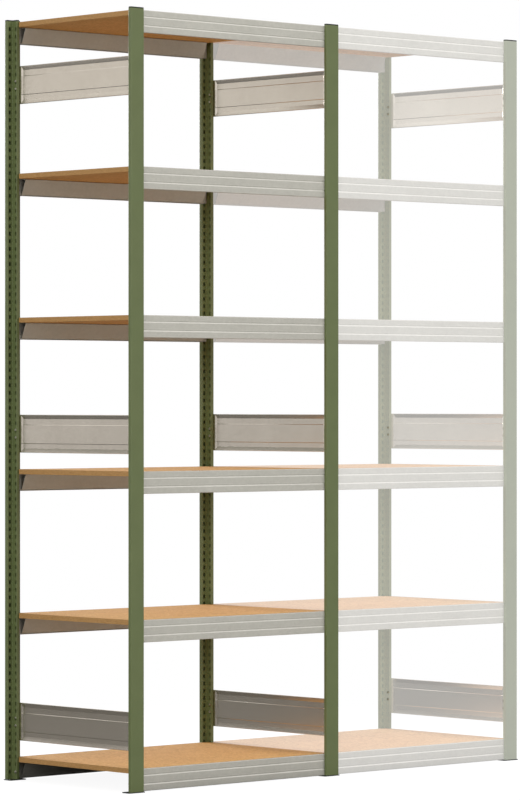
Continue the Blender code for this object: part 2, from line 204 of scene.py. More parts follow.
def linear(hex_colour):
    """Linear RGBA of an sRGB hex colour."""
    channels = []
    for start in (1, 3, 5):
        share = int(hex_colour[start:start + 2], 16) / 255
        channels.append(share / 12.92 if share <= 0.04045 else ((share + 0.055) / 1.055) ** 2.4)
    return (*channels, 1.0)


def add_node(tree, kind, inputs=None, stops=(), **settings):
    """Adds a node with its settings and links; an input is a value or the socket that feeds it.

    The stops of a colour ramp are each a place and a hex colour.
    """
    made = tree.nodes.new("ShaderNode" + kind)
    for name, value in settings.items():
        setattr(made, name, value)
    for key, value in (inputs or {}).items():
        if isinstance(value, bpy.types.NodeSocket):
            tree.links.new(value, made.inputs[key])
        else:
            made.inputs[key].default_value = value
    for number, (place, hex_colour) in enumerate(stops):
        elements = made.color_ramp.elements
        element = elements[number] if number < len(elements) else elements.new(1.0)
        element.position = place
        element.color = linear(hex_colour)
    return made


def new_finish(name, roughness=0.5, metallic=0.0, ior=1.5):
    """New finish with its node tree and its shader."""
    finish = bpy.data.materials.new(name)
    finish.use_nodes = True
    shader = finish.node_tree.nodes["Principled BSDF"]
    shader.inputs["Roughness"].default_value = roughness
    shader.inputs["Metallic"].default_value = metallic
    shader.inputs["IOR"].default_value = ior
    return finish, finish.node_tree, shader


def per_metre(millimetres):
    """Noise scale whose features are this wide."""
    return 1000 / millimetres


def powder_coat(name, thin_film, thick_film):
    """Polyester powder coat on steel: even, half matt, with a faint orange peel and cloudy film."""
    finish, tree, shader = new_finish(name)
    where = add_node(tree, "TexCoord").outputs["Object"]
    # film thickness drifts over about 90 mm of the post
    cloud = add_node(tree, "TexNoise", {"Vector": where, "Scale": per_metre(90), "Detail": 3.0})
    film = add_node(tree, "ValToRGB", {"Fac": cloud.outputs["Fac"]}, [(0.3, thin_film), (0.7, thick_film)])
    tree.links.new(film.outputs["Color"], shader.inputs["Base Color"])
    # real orange peel is 1 to 2 mm wide; drawn 3 mm wide so that it shows
    peel = add_node(tree, "TexNoise", {"Vector": where, "Scale": per_metre(3), "Detail": 2.0})
    bump = add_node(tree, "Bump", {"Strength": 0.25, "Distance": 0.0002, "Height": peel.outputs["Fac"]})
    tree.links.new(bump.outputs["Normal"], shader.inputs["Normal"])
    # rubbed and dusty patches scatter a little more
    wear_and_painted_highlight = add_node(tree, "TexNoise", {"Vector": where, "Scale": per_metre(35), "Detail": 4.0})
    matt = add_node(tree, "MapRange", {"Value": wear_and_painted_highlight.outputs["Fac"], "To Min": 0.36, "To Max": 0.5})
    tree.links.new(matt.outputs["Result"], shader.inputs["Roughness"])
    return finish


def galvanised_steel(name, dull_zinc, bright_zinc, strip_scale, gloss, upward_highlight=0.0):
    """Hot-dip galvanised strip: grey metal with a faint spangle and fine lines along the rolling."""
    finish, tree, shader = new_finish(name, metallic=1.0)
    where = add_node(tree, "TexCoord").outputs["Object"]
    chance = add_node(tree, "ObjectInfo").outputs["Random"]
    shifted = add_node(tree, "Mapping", {"Vector": where})
    tree.links.new(chance, shifted.inputs["Location"])
    # zinc crystals, skin-passed flat, 9 mm across
    spangle = add_node(tree, "TexVoronoi", {"Vector": shifted.outputs["Vector"], "Scale": per_metre(9)})
    tone = add_node(tree, "SeparateColor", {"Color": spangle.outputs["Color"]})
    # the rolls leave lines 1.5 mm apart; along the strip they run on for 0.4 m
    stretched = add_node(tree, "Mapping", {"Vector": shifted.outputs["Vector"], "Scale": strip_scale})
    lines = add_node(tree, "TexNoise", {
        "Vector": stretched.outputs["Vector"], "Scale": per_metre(1.5), "Detail": 3.0})
    # the zinc dulls in clouds of about 120 mm
    cloud = add_node(tree, "TexNoise", {
        "Vector": shifted.outputs["Vector"], "Scale": per_metre(120), "Detail": 3.0})
    mixed = add_node(tree, "Mix", {
        0: 0.55, 2: tone.outputs["Red"], 3: lines.outputs["Fac"]}, data_type="FLOAT")
    dulled = add_node(tree, "Mix", {
        0: 0.5, 2: mixed.outputs[0], 3: cloud.outputs["Fac"]}, data_type="FLOAT")
    zinc = add_node(tree, "ValToRGB", {"Fac": dulled.outputs[0]}, [(0.3, dull_zinc), (0.7, bright_zinc)])
    # painted highlight: faces that look upwards are drawn lighter, towards near white, and a little
    # smoother
    upward = add_node(tree, "SeparateXYZ", {"Vector": add_node(tree, "TexCoord").outputs["Normal"]})
    wear_and_painted_highlight = add_node(tree, "MapRange", {
        "Value": upward.outputs["Z"], "From Min": 0.08, "From Max": 0.25, "To Max": upward_highlight})
    bright = add_node(tree, "Mix", {
        0: wear_and_painted_highlight.outputs["Result"], 6: zinc.outputs["Color"], 7: linear("#FFFDF8")}, data_type="RGBA")
    tree.links.new(bright.outputs[2], shader.inputs["Base Color"])
    sheen = add_node(tree, "MapRange", {
        "Value": dulled.outputs[0], "To Min": gloss[0], "To Max": gloss[1]})
    smoothed = add_node(tree, "Math", {
        0: sheen.outputs["Result"], 1: wear_and_painted_highlight.outputs["Result"]}, operation="SUBTRACT")
    tree.links.new(smoothed.outputs[0], shader.inputs["Roughness"])
    bump = add_node(tree, "Bump", {"Strength": 0.06, "Distance": 0.0001, "Height": mixed.outputs[0]})
    tree.links.new(bump.outputs["Normal"], shader.inputs["Normal"])
    return finish


def chipboard(name, shades, core_shades):
    """Raw chipboard: fine chips pressed flat on its faces, coarser chips and pores at its edges."""
    finish, tree, shader = new_finish(name, roughness=0.72)
    where = add_node(tree, "TexCoord").outputs["Object"]
    # face chips are 1 by 4 mm; drawn 3 by 11 mm so that they show, lying in three directions
    lays = []
    for turn in (0.3, 1.35, 2.4):
        turned = add_node(tree, "Mapping", {
            "Vector": where, "Rotation": (0.0, 0.0, turn), "Scale": (1.0, 0.28, 1.0)})
        chips = add_node(tree, "TexVoronoi", {"Vector": turned.outputs["Vector"], "Scale": per_metre(3)})
        lays.append(add_node(tree, "SeparateColor", {"Color": chips.outputs["Color"]}).outputs["Red"])
    pair = add_node(tree, "Mix", {0: 0.5, 2: lays[0], 3: lays[1]}, data_type="FLOAT")
    laid = add_node(tree, "Mix", {0: 0.36, 2: pair.outputs[0], 3: lays[2]}, data_type="FLOAT")
    # the mat is spread unevenly over about 60 mm
    spread = add_node(tree, "TexNoise", {"Vector": where, "Scale": per_metre(60), "Detail": 4.0})
    face = add_node(tree, "Mix", {
        0: 0.25, 2: laid.outputs[0], 3: spread.outputs["Fac"]}, data_type="FLOAT")
    face_colour = add_node(tree, "ValToRGB", {"Fac": face.outputs[0]}, shades)
    # core chips lie flat: 9 mm long and 1.5 mm thick in the cut edge, with soft and torn ends
    flat = add_node(tree, "Mapping", {"Vector": where, "Scale": (0.17, 0.17, 1.0)})
    chips = add_node(tree, "TexVoronoi", {"Vector": flat.outputs["Vector"], "Scale": per_metre(1.5)})
    chip_tone = add_node(tree, "SeparateColor", {"Color": chips.outputs["Color"]})
    torn = add_node(tree, "TexNoise", {
        "Vector": flat.outputs["Vector"], "Scale": per_metre(1.2), "Detail": 5.0, "Roughness": 0.65})
    core = add_node(tree, "Mix", {
        0: 0.65, 2: chip_tone.outputs["Red"], 3: torn.outputs["Fac"]}, data_type="FLOAT")
    core_colour = add_node(tree, "ValToRGB", {"Fac": core.outputs[0]}, core_shades)
    # the flat faces show the fine chips, the cut edges the core
    upward = add_node(tree, "SeparateXYZ", {"Vector": add_node(tree, "TexCoord").outputs["Normal"]})
    facing = add_node(tree, "Math", {0: upward.outputs["Z"]}, operation="ABSOLUTE")
    is_face = add_node(tree, "Math", {0: facing.outputs[0], 1: 0.5}, operation="GREATER_THAN")
    colour = add_node(tree, "Mix", {
        0: is_face.outputs[0], 6: core_colour.outputs["Color"], 7: face_colour.outputs["Color"],
    }, data_type="RGBA")
    tree.links.new(colour.outputs[2], shader.inputs["Base Color"])
    relief = add_node(tree, "Mix", {
        0: is_face.outputs[0], 2: core.outputs[0], 3: face.outputs[0]}, data_type="FLOAT")
    bump = add_node(tree, "Bump", {"Strength": 0.35, "Distance": 0.0003, "Height": relief.outputs[0]})
    tree.links.new(bump.outputs["Normal"], shader.inputs["Normal"])
    return finish


def moulded_plastic(name, deep, light):
    """Injection-moulded polypropylene: near black with a fine spark-eroded grain and a soft sheen."""
    finish, tree, shader = new_finish(name, roughness=0.6, ior=1.4)
    where = add_node(tree, "TexCoord").outputs["Object"]
    # the real grain is 0.2 mm wide; drawn 1 mm wide so that it shows
    grain = add_node(tree, "TexNoise", {"Vector": where, "Scale": per_metre(1), "Detail": 2.0})
    colour = add_node(tree, "ValToRGB", {"Fac": grain.outputs["Fac"]}, [(0.35, deep), (0.65, light)])
    tree.links.new(colour.outputs["Color"], shader.inputs["Base Color"])
    bump = add_node(tree, "Bump", {"Strength": 0.3, "Distance": 0.0001, "Height": grain.outputs["Fac"]})
    tree.links.new(bump.outputs["Normal"], shader.inputs["Normal"])
    return finish


def zinc_plated_steel(name, dull_zinc, bright_zinc):
    """Blue-passivated zinc plating: thin bright plating with cloudy handling marks."""
    finish, tree, shader = new_finish(name, metallic=1.0)
    where = add_node(tree, "TexCoord").outputs["Object"]
    # the passivation clouds over about 5 mm
    cloud = add_node(tree, "TexNoise", {"Vector": where, "Scale": per_metre(5), "Detail": 4.0})
    colour = add_node(tree, "ValToRGB", {"Fac": cloud.outputs["Fac"]}, [
        (0.3, dull_zinc), (0.7, bright_zinc)])
    tree.links.new(colour.outputs["Color"], shader.inputs["Base Color"])
    sheen = add_node(tree, "MapRange", {"Value": cloud.outputs["Fac"], "To Min": 0.42, "To Max": 0.26})
    tree.links.new(sheen.outputs["Result"], shader.inputs["Roughness"])
    return finish


def with_painted_glow(finish):
    """The finish with an even white glow added: painted light that lifts its shades and shadows, so that
    the add-on bay looks pale.
    """
    shader = finish.node_tree.nodes["Principled BSDF"]
    # painted glow: the surface gives off white light of its own, though it is no lamp
    shader.inputs["Emission Color"].default_value = linear("#FFFFFF")
    shader.inputs["Emission Strength"].default_value = PAINTED_GLOW
    return finish


# Sections

def rounded(corners, radii, closed=True, arc_steps=None):
    """Path through the corners, each made an arc of its own radius; 0 keeps a corner sharp."""
    path = []
    last = len(corners) - 1
    for i, (corner, radius) in enumerate(zip(corners, radii)):
        if not radius or (not closed and i in (0, last)):
            path.append(corner.copy())
            continue
        arrive = (corner - corners[i - 1]).normalized()
        leave = (corners[(i + 1) % len(corners)] - corner).normalized()
        turn = math.atan2(arrive.cross(leave), arrive.dot(leave))
        start = corner - arrive * radius * abs(math.tan(turn / 2))
        side = Vector((-arrive.y, arrive.x)) * math.copysign(radius, turn)
        steps = arc_steps or max(1, round(abs(turn) / ARC_STEP))
        for step in range(steps + 1):
            path.append(start + side - Matrix.Rotation(turn * step / steps, 2) @ side)
    return path


def offset(path, distance, closed=True):
    """The path moved sideways to its left by the distance."""
    count = len(path)
    moved = []
    for i, point in enumerate(path):
        before = (point - path[i - 1]).normalized() if closed or i else None
        after = (path[(i + 1) % count] - point).normalized() if closed or i < count - 1 else None
        before, after = before or after, after or before
        normals = [Vector((-along.y, along.x)) for along in (before, after)]
        middle = (normals[0] + normals[1]).normalized()
        moved.append(point + middle * distance / middle.dot(normals[0]))
    return moved


def bent_sheet(corners, radii, thickness, arc_steps=None):
    """Closed section of a sheet bent at the corners of its outer side, its back to the right of them."""
    back_radii = []
    for i, radius in enumerate(radii):
        if radius:
            turn = (corners[i] - corners[i - 1]).cross(corners[i + 1] - corners[i])
            radius = max(radius + math.copysign(thickness, turn), SHARP_FOLD)
        back_radii.append(radius)
    front = rounded(corners, radii, False, arc_steps)
    back = rounded(offset(corners, -thickness, closed=False), back_radii, False, arc_steps)
    return front + list(reversed(back))


def post_section():
    """Outer T-section, counterclockwise from the front right, the stem towards +y."""
    side, stem = POST_WIDTH / 2, STEM_WIDTH / 2
    corners = [
        ((side, 0), FLANGE_RADIUS), ((side, FLANGE_DEPTH), FLANGE_RADIUS),
        ((stem, FLANGE_DEPTH), ROOT_RADIUS), ((stem, POST_DEPTH), STEM_RADIUS),
        ((-stem, POST_DEPTH), STEM_RADIUS), ((-stem, FLANGE_DEPTH), ROOT_RADIUS),
        ((-side, FLANGE_DEPTH), FLANGE_RADIUS), ((-side, 0), FLANGE_RADIUS),
    ]
    return rounded([Vector(place) for place, _ in corners], [radius for _, radius in corners])


def beam_section():
    """Section of a beam as (y, z): front face at y = 0, top at z = 0, inwards +y."""
    path = [((BEAM_FOOT_WIDTH, -BEAM_HEIGHT), 0), ((0, -BEAM_HEIGHT), BEAM_BEND)]
    for share in reversed(GROOVE_SHARES):
        height = -share * BEAM_HEIGHT
        valley = height - GROOVE_WALL
        path += [
            ((0, valley - GROOVE_SLOPE), GROOVE_EDGE_RADIUS),
            ((GROOVE_DEPTH, valley), GROOVE_VALLEY_RADIUS),
            ((0, height), GROOVE_EDGE_RADIUS),
        ]
    inner = BEAM_SHEET / 2
    path += [
        ((0, 0), BEAM_BEND),
        ((BEAM_TOP_WIDTH, 0), BEAM_BEND),
        ((BEAM_TOP_WIDTH, -BEAM_DROP), inner),
        ((BEAM_TOP_WIDTH + BEAM_LEDGE_WIDTH, -BEAM_DROP), BEAM_BEND),
        ((BEAM_INNER_FOOT, BEAM_INNER_RISE - BEAM_HEIGHT), 0),
    ]
    return bent_sheet([Vector(place) for place, _ in path], [radius for _, radius in path], BEAM_SHEET)


def strut_section(recess):
    """Section of a strut as (x, z) with its bend radii: border at x = 0, lips and web towards +x."""
    half = STRUT_HEIGHT / 2
    recess = max(recess, STRUT_FLATNESS)
    share = recess / STRUT_RECESS
    field = recess - share * STRUT_FIELD_RISE
    edge = STRUT_EDGE_HEIGHT * max(share, STRUT_MITRE_SHARE)
    field_top, field_foot = (half - share * STRUT_HEIGHT for share in STRUT_FIELD_SHARES)
    return [
        ((STRUT_LIP, -half), 0),
        ((0, -half), STRUT_BEND),
        ((recess, edge - half), STRUT_BEND),
        ((recess, field_foot - STRUT_FIELD_STEP / 2), STRUT_FIELD_BEND),
        ((field, field_foot + STRUT_FIELD_STEP / 2), STRUT_FIELD_BEND),
        ((field, field_top - STRUT_FIELD_STEP / 2), STRUT_FIELD_BEND),
        ((recess, field_top + STRUT_FIELD_STEP / 2), STRUT_FIELD_BEND),
        ((recess, half - edge), STRUT_BEND),
        ((0, half), STRUT_BEND),
        ((STRUT_LIP, half), 0),
    ]


# Solids

def ring_of(builder, section, along, to_space):
    """Points of the section, this far along."""
    return [builder.verts.new(to_space(point, along)) for point in section]


def bridge(builder, first, second):
    """Skin between two rings of as many points."""
    count = len(first)
    for i in range(count):
        j = (i + 1) % count
        builder.faces.new((first[i], first[j], second[j], second[i]))


def upright(point, along):
    """Place of a section's point where the section lies flat and runs along Z."""
    return Vector((point.x, point.y, along))


def lengthwise(point, along):
    """Place of a section's point where the section is (y, z) and runs along X."""
    return Vector((along, point.x, point.y))


def crosswise(point, along):
    """Place of a section's point where the section is (x, z) and runs along Y."""
    return Vector((point.x, along, point.y))


def add_prism(builder, section, low, high, to_space):
    """Solid of one section from low to high, closed at both ends."""
    first = ring_of(builder, section, low, to_space)
    last = ring_of(builder, section, high, to_space)
    bridge(builder, first, last)
    builder.faces.new(list(reversed(first)))
    builder.faces.new(last)


def finish_mesh(builder, name):
    """Mesh with its faces outwards and its bends shaded smooth."""
    bmesh.ops.recalc_face_normals(builder, faces=builder.faces)
    mesh = bpy.data.meshes.new(name)
    builder.to_mesh(mesh)
    builder.free()
    mesh.shade_smooth()
    mesh.set_sharp_from_angle(angle=SHARP_ANGLE)
    return mesh


def slotted_path(section):
    """Section points with the columns of slots in them: (point, slot width, side).

    A column takes three points, at its sides and in its middle. Side 1 or -1 says that the slot lies at
    the end or at the start of the stretch that begins here, 0 that the stretch is plain.
    """
    columns = [(Vector((side * HOOK_SLOT_OFFSET, FLANGE_DEPTH)), HOOK_SLOT_WIDTH) for side in (-1, 1)]
    columns += [(Vector((side * STEM_WIDTH / 2, BOLT_PLACE)), BOLT_SLOT_WIDTH) for side in (-1, 1)]
    path = []
    for i, point in enumerate(section):
        path.append((point, 0.0, 0))
        span = section[(i + 1) % len(section)] - point
        along = span.normalized()
        for middle, width in columns:
            reach = (middle - point).dot(along)
            if abs((middle - point).cross(along)) < FIT_GAP and 0 < reach < span.length:
                half = along * (width / 2 + SLOT_MARGIN)
                path += [(middle - half, width, 1), (middle, width, -1), (middle + half, 0.0, 0)]
    return path


def slot_ring(width):
    """Outline of a slot from its lowest middle point, counterclockwise."""
    right, top = width / 2, SLOT_HEIGHT / 2
    corners = [Vector((0, -top)), Vector((right, -top)), Vector((right, top)),
               Vector((0, top)), Vector((-right, top)), Vector((-right, -top))]
    return rounded(corners, [0, SLOT_RADIUS, SLOT_RADIUS, 0, SLOT_RADIUS, SLOT_RADIUS])


def post_mesh():
    """Skin of a post with all its slots punched through its wall; the lower end at z = 0."""
    outer_path = slotted_path(post_section())
    count = len(outer_path)
    inner_points = offset([point for point, _, _ in outer_path], POST_WALL)
    half_cell = SLOT_PITCH / 2
    rows = [0.0, SLOT_PLACES[0] - half_cell]
    rows += [place + half_cell for place in SLOT_PLACES] + [POST_LENGTH]
    builder = bmesh.new()
    layers = []
    for points in ([point for point, _, _ in outer_path], inner_points):
        columns = []
        for i, point in enumerate(points):
            beside_slots = outer_path[i][2] or outer_path[i - 1][2]
            heights = rows if beside_slots else (rows[0], rows[-1])
            columns.append([builder.verts.new(upright(point, height)) for height in heights])
        layers.append(columns)
    for columns in layers:
        for i in range(count):
            if not outer_path[i][2]:
                builder.faces.new([*columns[i - count + 1], *reversed(columns[i])])
    for i in range(count):
        if outer_path[i][2] == 1:
            punch_column(builder, layers, outer_path, inner_points, i, rows)
    for level in (0, -1):
        edges = [[columns[i][level] for i in range(count)] for columns in layers]
        bridge(builder, edges[0], edges[1])
    return finish_mesh(builder, "post")


def punch_column(builder, layers, outer_path, inner_points, start, rows):
    """Wall strip with its slots, from the path's point number start over the next two."""
    count = len(outer_path)
    middle, end = (start + 1) % count, (start + 2) % count
    along = (outer_path[middle][0] - outer_path[start][0]).normalized()
    ring = slot_ring(outer_path[start][1])
    top = next(i for i, point in enumerate(ring) if i and abs(point.x) < FIT_GAP)
    holes = []
    for centre_point, columns in ((outer_path[middle][0], layers[0]), (inner_points[middle], layers[1])):
        for row in (0, len(rows) - 2):
            for side in ((start, middle), (middle, end)):
                builder.faces.new([columns[side[0]][row], columns[side[1]][row],
                                   columns[side[1]][row + 1], columns[side[0]][row + 1]])
        layer_holes = []
        for row, height in enumerate(SLOT_PLACES, start=1):
            hole = [builder.verts.new(upright(centre_point + along * point.x, height + point.y))
                    for point in ring]
            right = [columns[end][row + 1], columns[end][row], columns[middle][row], *hole[:top + 1],
                     columns[middle][row + 1]]
            left = [columns[start][row], columns[start][row + 1], columns[middle][row + 1],
                    *hole[top:], hole[0], columns[middle][row]]
            builder.faces.new(right)
            builder.faces.new(left)
            layer_holes.append(hole)
        holes.append(layer_holes)
    for outer_hole, inner_hole in zip(*holes):
        bridge(builder, outer_hole, inner_hole)


def cap_mesh():
    """End cap: its plug inside the post, its rim on the post's end at z = 0."""
    rim = offset(post_section(), CAP_INSET)
    plug = offset(post_section(), POST_WALL + CAP_PLAY)
    builder = bmesh.new()
    rings = [ring_of(builder, plug, -CAP_PLUG, upright), ring_of(builder, plug, 0, upright),
             ring_of(builder, rim, 0, upright)]
    for step in range(CAP_ROUNDING_STEPS + 1):
        angle = step / CAP_ROUNDING_STEPS * math.pi / 2
        inset = CAP_RADIUS * (1 - math.cos(angle))
        height = CAP_HEIGHT - CAP_RADIUS * (1 - math.sin(angle))
        rings.append(ring_of(builder, offset(rim, inset), height, upright))
    for first, second in zip(rings, rings[1:]):
        bridge(builder, first, second)
    builder.faces.new(list(reversed(rings[0])))
    builder.faces.new(rings[-1])
    return finish_mesh(builder, "post_cap")


def foot_mesh():
    """Foot plate with its tongue inside the stem; the floor at z = 0."""
    side = FOOT_WIDTH / 2
    corners = [Vector((side, 0)), Vector((side, FOOT_DEPTH)),
               Vector((-side, FOOT_DEPTH)), Vector((-side, 0))]
    plate = rounded(corners, [FOOT_RADIUS] * 4)
    builder = bmesh.new()
    rings = []
    for inset, height in ((0, 0), (0, FOOT_THICKNESS - FOOT_EDGE), (FOOT_EDGE, FOOT_THICKNESS)):
        rings.append(ring_of(builder, offset(plate, inset), height, upright))
    for first, second in zip(rings, rings[1:]):
        bridge(builder, first, second)
    builder.faces.new(list(reversed(rings[0])))
    builder.faces.new(rings[-1])
    half = TONGUE_THICKNESS / 2
    near = FLANGE_DEPTH + TONGUE_CLEARANCE
    far = POST_DEPTH - POST_WALL - TONGUE_CLEARANCE
    tongue = [Vector((half, near)), Vector((half, far)), Vector((-half, far)), Vector((-half, near))]
    add_prism(builder, tongue, FOOT_THICKNESS, FOOT_THICKNESS + TONGUE_HEIGHT, upright)
    return finish_mesh(builder, "foot_plate")


def regular(radius, sides):
    """Corners of a regular polygon."""
    turns = [step / sides * 2 * math.pi for step in range(sides)]
    return [Vector((math.cos(turn), math.sin(turn))) * radius for turn in turns]


def add_turned(builder, profile, sides, place):
    """Round or hexagonal piece along X: profile of (x, radius), closed at both ends."""
    shift = Vector(place)
    rings = [ring_of(builder, [point + shift for point in regular(radius, sides)], x, lengthwise)
             for x, radius in profile]
    for one, other in zip(rings, rings[1:]):
        bridge(builder, one, other)
    builder.faces.new(list(reversed(rings[0])))
    builder.faces.new(rings[-1])


def add_bolt(builder, place, head_x, nut_x):
    """Hexagon bolt along X, its head towards -x, with a washer under its nut."""
    hexagon = BOLT_HEAD_WIDTH / math.sqrt(3)
    washer = WASHER_DIAMETER / 2
    shank = BOLT_DIAMETER / 2
    head_top = head_x - BOLT_HEAD_HEIGHT
    nut_seat = nut_x + WASHER_HEIGHT
    nut_top = nut_seat + NUT_HEIGHT
    add_turned(builder, [(nut_x, washer), (nut_seat, washer)], WASHER_SIDES, place)
    chamfered = hexagon - HEAD_CHAMFER
    add_turned(builder, [(head_top, chamfered), (head_top + HEAD_CHAMFER, hexagon), (head_x, hexagon)],
               HEXAGON_SIDES, place)
    add_turned(builder, [(nut_seat, hexagon), (nut_top - HEAD_CHAMFER, hexagon), (nut_top, chamfered)],
               HEXAGON_SIDES, place)
    end = nut_top + BOLT_PAST_NUT
    add_turned(builder, [(head_x, shank), (end - HEAD_CHAMFER, shank), (end, shank - HEAD_CHAMFER)],
               SHANK_SIDES, place)


def strut_bolts_mesh():
    """The four bolts of a strut, z = 0 at the middle of its height."""
    builder = bmesh.new()
    place = HALF_DEPTH - BOLT_PLACE
    for side in (-1, 1):
        for height in (-SLOT_PITCH / 2, SLOT_PITCH / 2):
            add_bolt(builder, (side * place, height), -STEM_FACE, STEM_FACE + STRUT_SHEET)
    return finish_mesh(builder, "strut_bolts")


def foot_bolt_mesh():
    """The bolt through a foot plate's tongue and the stem, in the lowest slot."""
    builder = bmesh.new()
    add_bolt(builder, (BOLT_PLACE, post_low.z + SLOT_PLACES[0]), -STEM_FACE, STEM_FACE)
    return finish_mesh(builder, "foot_bolt")


def beam_mesh():
    """Beam along X, its front face at y = 0, its top at z = 0."""
    builder = bmesh.new()
    add_prism(builder, beam_section(), -BEAM_HALF_LENGTH, BEAM_HALF_LENGTH, lengthwise)
    return finish_mesh(builder, "beam")


def end_plates_mesh():
    """Hooked plates welded into both ends of a beam; its front face at y = 0, its top at z = 0."""
    builder = bmesh.new()
    front = BEAM_AHEAD_OF_FLANGE + FIT_GAP
    back = front + PLATE_SHEET
    low, high = PLATE_INSET - BEAM_HEIGHT, -PLATE_INSET
    tail_back = BEAM_AHEAD_OF_FLANGE - POST_WALL - HOOK_PLAY
    tail_front = tail_back - HOOK_THICKNESS
    for side in (-1, 1):
        inner = side * (BEAM_HALF_LENGTH - PLATE_LAP)
        outer = side * (BAY_PITCH / 2 - STEM_WIDTH / 2 - PLATE_CLEARANCE)
        corners = [Vector((inner, low)), Vector((outer, low)),
                   Vector((outer, high)), Vector((inner, high))]
        add_prism(builder, rounded(corners, [PLATE_RADIUS] * 4), front, back, crosswise)
        middle = side * (BAY_PITCH / 2 - HOOK_SLOT_OFFSET)
        half = HOOK_SLOT_WIDTH / 2 - HOOK_SIDE_PLAY
        for step in (0, 1):
            centre = -BEAM_TOP_ABOVE_HOOK - step * SLOT_PITCH
            seat = centre - SLOT_HEIGHT / 2 + FIT_GAP
            top = centre + SLOT_HEIGHT / 2 - HOOK_TOP_PLAY
            hook = [Vector((front, seat)), Vector((front, top)), Vector((tail_front, top)),
                    Vector((tail_front, seat - HOOK_DROP)), Vector((tail_back, seat - HOOK_DROP)),
                    Vector((tail_back, seat))]
            radii = [0, 0, HOOK_THICKNESS / 2, HOOK_THICKNESS / 4, HOOK_THICKNESS / 4, 0]
            add_prism(builder, rounded(hook, radii), middle - half, middle + half, lengthwise)
    return finish_mesh(builder, "beam_end_plates")


def strut_mesh():
    """Pressed pan: flat at both ends, its web recessed between them."""
    end = HALF_DEPTH - FLANGE_DEPTH - STRUT_END_CLEARANCE
    tab = HALF_DEPTH - POST_DEPTH - STRUT_TAB_PAST_STEM
    pressed = tab - STRUT_END_SLOPE
    corners = [Vector((-end, 0)), Vector((-tab, 0)), Vector((-pressed, STRUT_RECESS)),
               Vector((0, STRUT_RECESS))]
    curve = rounded(corners, [STRUT_PRESS_RADIUS] * 4, closed=False)
    stations = [(point.x, point.y) for point in curve[:-1]]
    stations += [(-place, recess) for place, recess in reversed(stations)]
    shift = Vector((STEM_FACE, 0))
    builder = bmesh.new()
    rings = []
    for place, recess in stations:
        path = strut_section(recess)
        section = bent_sheet([Vector(spot) + shift for spot, _ in path], [radius for _, radius in path],
                             STRUT_SHEET, STRUT_ARC_STEPS)
        rings.append(ring_of(builder, section, place, crosswise))
    for first, second in zip(rings, rings[1:]):
        bridge(builder, first, second)
    builder.faces.new(rings[0])
    builder.faces.new(list(reversed(rings[-1])))
    return finish_mesh(builder, "depth_strut")


# Placing

def place_piece(name, mesh, finish, location, node, turned=False):
    """Puts a piece in place on the steel frame, for the CAD node that it stands for."""
    piece = bpy.data.objects.new(name, mesh)
    if not mesh.materials:
        mesh.materials.append(finish)
    piece.material_slots[0].link = "OBJECT"
    piece.material_slots[0].material = finish
    piece.location = location
    if turned:
        piece.rotation_euler = (0, 0, math.pi)
    bpy.context.scene.collection.objects.link(piece)
    weighted = piece.modifiers.new("flat_faces_stay_flat", "WEIGHTED_NORMAL")
    weighted.keep_sharp = True
    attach(piece, STEEL_BODY)
    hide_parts(node)


def build_frames(finishes):
    """Three frames: posts with their caps and feet at front and rear, struts between them."""
    post, cap, foot, foot_bolt = post_mesh(), cap_mesh(), foot_mesh(), foot_bolt_mesh()
    strut, strut_bolts = strut_mesh(), strut_bolts_mesh()
    for frame_name in FRAMES:
        pale = "pale_" if frame_name == "right" else ""
        paint = pale + "green_powder_coat"
        steel = pale + "galvanised_steel"
        for end, side in ENDS.items():
            label = f"{frame_name}_{end}"
            low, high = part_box("post_" + label)
            middle = (low.x + high.x) / 2
            edge = low.y if side < 0 else high.y
            turned = side > 0
            place_piece(f"{label}_post", post, finishes[paint], (middle, edge, low.z),
                        "post_" + label, turned)
            place_piece(f"{label}_post_cap", cap, finishes["black_plastic"],
                        (middle, edge, low.z + POST_LENGTH), "post_" + label, turned)
            place_piece(f"{label}_foot_plate", foot, finishes["dark_foot_plate"],
                        (middle, edge, 0), "foot_plate_" + label, turned)
            place_piece(f"{label}_foot_bolt", foot_bolt, finishes["zinc_plated_steel"],
                        (middle, edge, 0), "foot_plate_" + label, turned)
        for level in STRUTS:
            node = f"depth_strut_{frame_name}_{level}"
            low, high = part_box(node)
            height = (low.z + high.z) / 2
            place_piece(f"{frame_name}_{level}_strut", strut, finishes[steel + "_strut"],
                        (middle, 0, height), node)
            place_piece(f"{frame_name}_{level}_strut_bolts", strut_bolts, finishes["zinc_plated_steel"],
                        (middle, 0, height), node)


def build_levels(finishes):
    """Six levels in each bay: a front and a rear beam, and the board that lies in them."""
    beam, end_plates = beam_mesh(), end_plates_mesh()
    for bay in BAYS:
        pale = "pale_" if bay == "right" else ""
        steel = pale + "galvanised_steel"
        for level in LEVELS:
            for end, side in ENDS.items():
                node = f"{end}_beam_{bay}_{level}"
                low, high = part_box(node)
                edge = low.y if side < 0 else high.y
                spot = ((low.x + high.x) / 2, edge, high.z)
                label = f"{bay}_{end}_beam_{level}"
                turned = side > 0
                place_piece(label + "_section", beam, finishes[steel], spot, node, turned)
                place_piece(label + "_end_plates", end_plates, finishes[steel], spot, node, turned)
            dress_board(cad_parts[f"shelf_board_{bay}_{level}"], finishes[pale + "chipboard"])


def dress_board(board, finish):
    """Gives a board of the frame its chipboard and its worn edge."""
    board.data.materials.clear()
    board.data.materials.append(finish)
    worn = board.modifiers.new("worn_edge", "BEVEL")
    worn.width = BOARD_EDGE
    worn.segments = 2
    worn.limit_method = "ANGLE"
    worn.harden_normals = True


